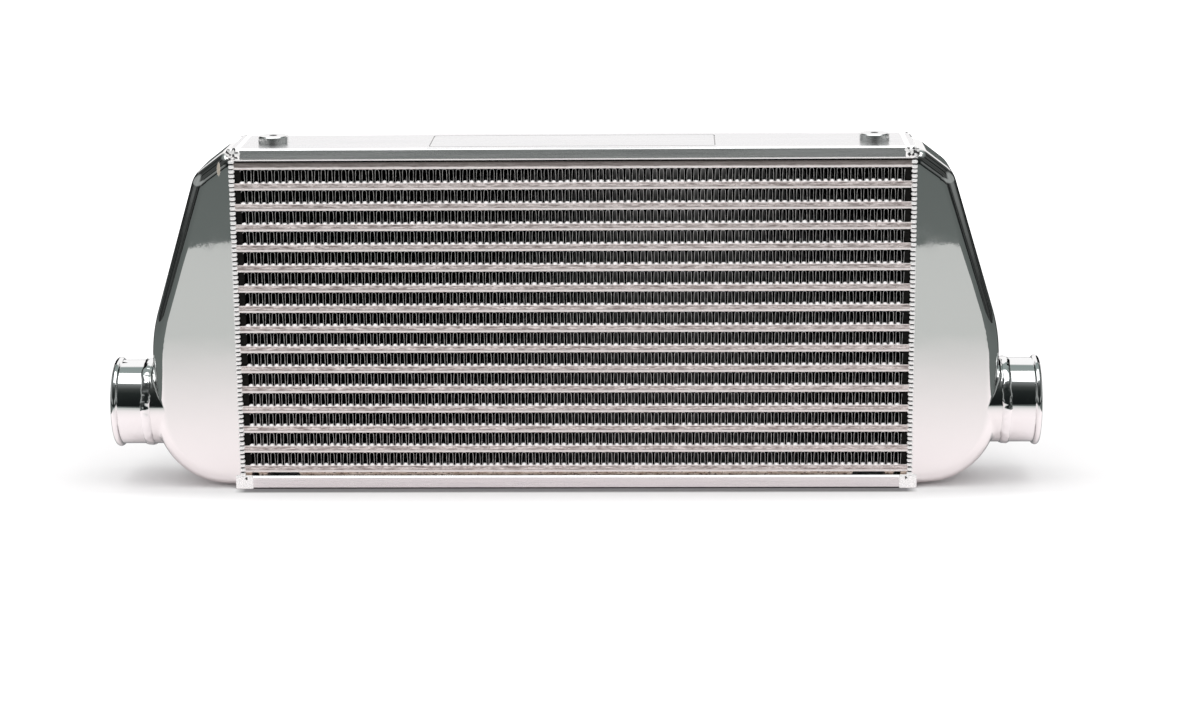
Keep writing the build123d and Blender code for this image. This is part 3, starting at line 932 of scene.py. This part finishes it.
def rough_up(shape, centre_x, seed):
    """Pushes a ring's points about, as a hand-laid bead lies."""
    for vertex in shape.verts:
        if abs(vertex.co.x - centre_x) > 2 * STUB_BEAD_HALF_WIDTH:
            continue
        outward = Vector((0.0, vertex.co.y, vertex.co.z - PIPE_HEIGHT))
        proud = (outward.length - PIPE_RADIUS + STUB_BEAD_SUNK) / (STUB_BEAD_PROUD + STUB_BEAD_SUNK)
        lump = noise.noise(vertex.co / (5.0 * MM) + Vector((seed, 0, 0))) * RING_LUMP
        ripple = noise.noise(vertex.co / (1.9 * MM) + Vector((0, seed, 0))) * RING_RIPPLE
        weave = noise.noise(outward / (9.0 * MM) + Vector((seed, seed, 0))) * RING_WEAVE
        vertex.co += outward.normalized() * (lump + ripple) * max(proud, 0.0)
        vertex.co.x += weave


ring_beads = bmesh.new()
for side in (-1, 1):
    lay_stub_bead(ring_beads, side * STUB_BEAD_X)
    rough_up(ring_beads, side * STUB_BEAD_X, 4.0 + side)
bmesh.ops.recalc_face_normals(ring_beads, faces=ring_beads.faces)
stub_beads = finish_piece(ring_beads, "stub_beads", "weld", "stub_welds", BEAD_SHARP, pipe_finish)
print("faces of the stub beads:", len(stub_beads.data.polygons))

# %% [markdown]
# The set. Polished metal looks like what stands round it, so the set is built as a photographer's: white
# paper under and behind the cooler, a large soft lamp overhead, a dark room behind the camera and a black
# card on each side. All of it is staged, so it lights the part without being a piece of it. First comes the
# floor, one large plane whose shader asks which kind of ray looks. The camera sees white paper with the
# cooler's shadow and a painted shadow, a dark line along the lower plate. The line's mask has a front edge
# and two ends but no rear edge. The front camera can't see that, but a camera behind the cooler sees a dark
# strip on the floor. The metal sees a sheet with an end and a painted pool of light, pink and bright near the
# cooler and greyer towards the camera, with painted shade behind, and the dark floor past it.

# %% Stage: paper floor
FLOOR_HALF = 14.0
PAPER_FRONT = -1.18
PAPER_HALF_WIDTH = 0.66
GREY_TO_BRIGHT = (-0.66, -0.12)
LIT_TO_SHADED = (-0.01, 0.05)
FOOT_SHADOW_EDGE = (-0.053, -0.048)
FOOT_SHADOW_END = (0.297, 0.307)

floor_shape = bmesh.new()
bmesh.ops.create_grid(floor_shape, x_segments=1, y_segments=1, size=FLOOR_HALF)
floor_mesh = bpy.data.meshes.new("floor")
floor_shape.to_mesh(floor_mesh)
floor_shape.free()
floor = bpy.data.objects.new("floor", floor_mesh)
bpy.context.scene.collection.objects.link(floor)

paper, tree, sockets = start_finish("paper floor", (0.9, 0.9, 0.9), 0.0, 0.9)
rays = tree.nodes.new("ShaderNodeLightPath").outputs
spot = place_on_piece(tree)
from_centre = maths(tree, "ABSOLUTE", spot[0])

# Painted light on the paper that the metal sees: bright near the cooler, greyer towards the camera.
painted_pool_of_light = fade(tree, spot[1], *GREY_TO_BRIGHT)
paper_tone = mix_colours(tree, painted_pool_of_light, (0.40, 0.41, 0.40, 1.0), (0.80, 0.735, 0.745, 1.0))
shaded = fade(tree, spot[1], *LIT_TO_SHADED)
shaded_paper = mix_colours(tree, shaded, paper_tone, (0.20, 0.20, 0.205, 1.0))
in_length = maths(tree, "GREATER_THAN", spot[1], PAPER_FRONT)
in_width = maths(tree, "LESS_THAN", from_centre, PAPER_HALF_WIDTH)
on_paper = maths(tree, "MULTIPLY", in_length, in_width)
mirrored_floor = mix_colours(tree, on_paper, (0.096, 0.108, 0.104, 1.0), shaded_paper)

# Painted shadow: a dark line on the floor along the foot of the lower plate.
along_foot = fade(tree, from_centre, *FOOT_SHADOW_END, 1.0, 0.0)
foot_shadow = maths(tree, "MULTIPLY", fade(tree, spot[1], *FOOT_SHADOW_EDGE), along_foot)
camera_floor = mix_colours(tree, foot_shadow, (0.78, 0.775, 0.777, 1.0), (0.20, 0.195, 0.20, 1.0))
plain_floor = mix_colours(tree, rays["Is Camera Ray"], (0.70, 0.695, 0.695, 1.0), camera_floor)
seen_floor = mix_colours(tree, rays["Is Glossy Ray"], plain_floor, mirrored_floor)
tree.links.new(seen_floor, sockets["Base Color"])
sockets["Specular IOR Level"].default_value = 0.0

# %% [markdown]
# White to the camera. Paper in lamplight renders a little grey, and a studio's white background is made with
# lamps of its own. Here the floor glows for the camera alone: hardly at all near the cooler, so that its
# shadow stays, and up to white farther off and in front, where the paper runs out into the backdrop.

# %% Stage: white paper for the camera
GLOW_DISTANCE = (0.5, 2.2)
GLOW_IN_FRONT = (-0.12, -0.045)

sockets["Emission Color"].default_value = (1.0, 0.985, 0.99, 1.0)
distance = add_node(tree, "VectorMath", Vector=tree.nodes.new("ShaderNodeTexCoord").outputs["Object"])
distance.operation = "LENGTH"
far_glow = fade(tree, distance.outputs["Value"], *GLOW_DISTANCE, 0.02, 0.9)
front_glow = fade(tree, spot[1], *GLOW_IN_FRONT, 0.45, 0.0)
glow = maths(tree, "MAXIMUM", far_glow, front_glow)
tree.links.new(maths(tree, "MULTIPLY", rays["Is Camera Ray"], glow), sockets["Emission Strength"])
floor_mesh.materials.append(paper)
tell(paper)

# %% [markdown]
# Black cards. A photographer stands black cards round polished metal, because bright metal on white paper has
# no outline. One stands on each side, a little behind the cooler, and draws a dark line down the edge of each
# tank and pipe. Camera, diffuse and shadow rays pass them by, so only reflections show them.

# %% Stage: black cards
CARD_HALF_GAP = 0.50
CARD_HEIGHT = 0.36
CARD_BACK = 0.42
CARD_FRONT = 0.10

card_finish, tree, sockets = start_finish("black card", (0.006, 0.007, 0.007), 0.0, 0.9)
sockets["Specular IOR Level"].default_value = 0.0


def black_card(side):
    """A card beside the cooler that only reflections see."""
    shape = bmesh.new()
    foot = [shape.verts.new((side * CARD_HALF_GAP, y, 0.0)) for y in (CARD_FRONT, CARD_BACK)]
    raised = bmesh.ops.extrude_edge_only(shape, edges=[shape.edges.new(foot)])["geom"]
    bmesh.ops.translate(shape, verts=moved_verts(raised), vec=(0, 0, CARD_HEIGHT))
    mesh = bpy.data.meshes.new("black_card")
    shape.to_mesh(mesh)
    shape.free()
    mesh.materials.append(card_finish)
    card = bpy.data.objects.new("black_card", mesh)
    bpy.context.scene.collection.objects.link(card)
    card.visible_camera = False
    card.visible_diffuse = False
    card.visible_shadow = False
    return card


cards = [black_card(side) for side in (-1, 1)]
print("black cards:", len(cards))

# %% [markdown]
# The room. It is the world's colour, told by direction, and reflections alone see it. Along Y it runs from
# black behind the camera over grey at the sides and overhead to the white backdrop. Diffuse rays meet an
# even white instead, so that matt pieces are lit plainly, and so does the camera, as its background.

# %% Stage: the room
world = bpy.data.worlds.new("studio")
bpy.context.scene.world = world
world.use_nodes = True
tree = world.node_tree
rays = tree.nodes.new("ShaderNodeLightPath").outputs
looked_at = tree.nodes.new("ShaderNodeTexCoord").outputs["Generated"]
towards = add_node(tree, "SeparateXYZ", Vector=looked_at).outputs
room = add_node(tree, "ValToRGB", Fac=fade(tree, towards["Y"], -1.0, 1.0))
stops = [
    (0.00, (0.008, 0.010, 0.010)),
    (0.10, (0.018, 0.022, 0.021)),
    (0.17, (0.05, 0.055, 0.053)),
    (0.25, (0.17, 0.18, 0.18)),
    (0.30, (0.36, 0.38, 0.38)),
    (0.56, (0.30, 0.34, 0.33)),
    (0.76, (0.26, 0.31, 0.30)),
    (0.80, (1.0, 0.99, 0.99)),
]
ramp = room.color_ramp
for position, _ in stops[2:]:
    ramp.elements.new(position)
for element, (position, colour) in zip(ramp.elements, stops):
    element.position = position
    element.color = (*colour, 1.0)
print("stops from the dark room to the backdrop:", len(ramp.elements))

# %% [markdown]
# The sides of the room. The pipes and the flanks of the tanks look sideways, where a workshop has shelves:
# mostly black, with a few paler uprights from a noise squeezed along Z. A grey wall lies low over the floor,
# and higher up only straight to the sides, so that a flank seen from there isn't one black panel.

# %% Stage: sides of the room
SHELF_SCALE = 9.0
SHELF_SQUEEZE = 0.15

sideways = maths(tree, "ABSOLUTE", towards["X"])
below_lamp = fade(tree, towards["Z"], 0.66, 0.86, 1.0, 0.0)
before_backdrop = fade(tree, towards["Y"], 0.68, 0.80, 1.0, 0.0)
low_before = maths(tree, "MULTIPLY", below_lamp, before_backdrop)
dark_side = maths(tree, "MULTIPLY", fade(tree, sideways, 0.25, 0.60), low_before)

squeezed_height = maths(tree, "MULTIPLY", towards["Z"], SHELF_SQUEEZE)
shelf_place = add_node(tree, "CombineXYZ", X=towards["Y"], Y=squeezed_height).outputs[0]
shelves = add_node(tree, "TexNoise", Vector=shelf_place, Scale=SHELF_SCALE, Detail=1.0).outputs[0]
uprights = fade(tree, shelves, 0.45, 0.62)
side_tone = mix_colours(tree, uprights, (0.006, 0.007, 0.007, 1.0), (0.075, 0.08, 0.078, 1.0))

above_floor = fade(tree, towards["Z"], 0.06, 0.12)
low_wall = fade(tree, towards["Z"], 0.24, 0.32, 1.0, 0.0)
high_wall = fade(tree, sideways, 0.78, 0.86)
grey_wall = maths(tree, "MULTIPLY", above_floor, maths(tree, "MAXIMUM", low_wall, high_wall))
wall_tone = mix_colours(tree, shelves, (0.16, 0.17, 0.17, 1.0), (0.42, 0.44, 0.43, 1.0))
side_room = mix_colours(tree, grey_wall, side_tone, wall_tone)

whole_room = mix_colours(tree, dark_side, room.outputs["Color"], side_room)
lit_room = mix_colours(tree, rays["Is Glossy Ray"], (1.15, 1.15, 1.15, 1.0), whole_room)
backdrop = maths(tree, "MAXIMUM", rays["Is Camera Ray"], rays["Is Transmission Ray"])
seen_world = mix_colours(tree, backdrop, lit_room, (1.0, 1.0, 1.0, 1.0))
tree.links.new(seen_world, tree.nodes["Background"].inputs["Color"])
tree.nodes["Background"].inputs["Strength"].default_value = 1.0
print("nodes of the world:", len(tree.nodes))

# %% [markdown]
# The lamp. One large soft rectangle hangs over the set, a little in front of the cooler. It gives the soft
# shadow under the tanks and the bright upper edges. Its power is worked out from its size, so that it can be
# made larger without growing brighter per area.

# %% Lamp
LAMP_SIZE = (2.4, 1.15)
LAMP_PLACE = (0.0, -0.33, 1.9)
LAMP_RADIANCE = 1.5

lamp_data = bpy.data.lights.new("overhead_softbox", "AREA")
lamp_data.shape = "RECTANGLE"
lamp_data.size, lamp_data.size_y = LAMP_SIZE
lamp_data.energy = LAMP_RADIANCE * math.pi * LAMP_SIZE[0] * LAMP_SIZE[1]
lamp = bpy.data.objects.new("overhead_softbox", lamp_data)
lamp.location = LAMP_PLACE
lamp.visible_camera = False
bpy.context.scene.collection.objects.link(lamp)
print("lamp power in W:", round(lamp_data.energy, 1))

# %% [markdown]
# The camera. Its place, turn and lens were fitted to the photograph, so that the corners of the core and the
# ends of the pipes fall where they do there. It stands 2.5 m off, a little to the right and above, with a
# long lens that keeps the rows of the core almost parallel.

# %% Camera
CAMERA_PLACE = (0.09092, -2.50578, 0.70866)
CAMERA_LENS = 85.5
CAMERA_PITCH = 0.2323
CAMERA_YAW = -0.0274
CAMERA_ROLL = -0.0090


def camera_turn(pitch, yaw, roll):
    """Rotation of a camera that looks along +Y, tipped down, turned and rolled."""
    forward = Vector((math.sin(yaw) * math.cos(pitch), math.cos(yaw) * math.cos(pitch), -math.sin(pitch)))
    right = Vector((math.cos(yaw), -math.sin(yaw), 0.0))
    up = right.cross(forward)
    rolled_right = right * math.cos(roll) + up * math.sin(roll)
    rolled_up = up * math.cos(roll) - right * math.sin(roll)
    return Matrix((rolled_right, rolled_up, -forward)).transposed().to_4x4()


camera_data = bpy.data.cameras.new("camera")
camera_data.lens = CAMERA_LENS
camera_data.sensor_width = 36.0
camera_data.sensor_fit = "HORIZONTAL"
camera_data.clip_end = 60.0
camera = bpy.data.objects.new("camera", camera_data)
camera.matrix_world = Matrix.Translation(CAMERA_PLACE) @ camera_turn(CAMERA_PITCH, CAMERA_YAW, CAMERA_ROLL)
bpy.context.scene.collection.objects.link(camera)
bpy.context.scene.camera = camera
bpy.context.scene.view_settings.view_transform = "Standard"
print("camera in m:", CAMERA_PLACE, "lens in mm:", CAMERA_LENS)
